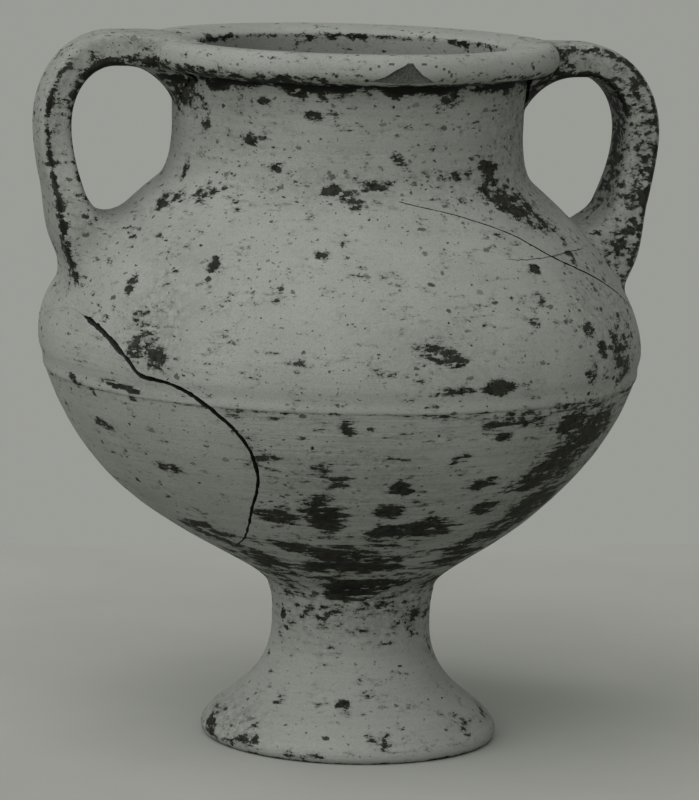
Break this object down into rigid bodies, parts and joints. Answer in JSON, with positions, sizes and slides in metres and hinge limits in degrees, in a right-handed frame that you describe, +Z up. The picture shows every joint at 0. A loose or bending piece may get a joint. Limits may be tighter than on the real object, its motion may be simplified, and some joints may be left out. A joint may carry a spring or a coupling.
{
  "type": "two-handled pottery vessel",
  "caption": "Footed clay vessel for mixing or serving: wide ridged bowl, rounded shoulder, short neck with a rolled lip, and strap handles from lip to shoulder.",
  "frame": {"origin": "on the surface that the foot stands on, straight below the middle of the mouth; the foot's own middle is 6.3 mm to the right of it", "axes": "+Z up out of the mouth, +X towards the right handle, +Y away from the side that the picture shows"},
  "size_m": [0.2224, 0.2126, 0.2523],
  "materials": {
    "foot_clay": "unglazed fired clay, matt, with patches of dark burial crust",
    "bowl_clay": "unglazed fired clay, matt, with patches of dark burial crust",
    "shoulder_clay": "unglazed fired clay, matt, with patches of dark burial crust",
    "left_sherd_clay": "unglazed fired clay, matt, with patches of dark burial crust",
    "right_sherd_clay": "unglazed fired clay, matt, with patches of dark burial crust",
    "neck_clay": "unglazed fired clay, matt, with patches of dark burial crust",
    "lip_clay": "unglazed fired clay, matt, with patches of dark burial crust",
    "left_handle_clay": "unglazed fired clay, matt, with patches of dark burial crust",
    "right_handle_clay": "unglazed fired clay, matt, with patches of dark burial crust"
  },
  "bodies": {
    "root": {"pedestal_foot": "foot_clay", "lower_bowl": "bowl_clay", "shoulder_wall": "shoulder_clay", "left_wall_sherd": "left_sherd_clay", "right_shoulder_sherd": "right_sherd_clay", "neck_collar": "neck_clay", "rim_lip": "lip_clay", "left_handle": "left_handle_clay", "right_handle": "right_handle_clay"}
  },
  "joints": []
}
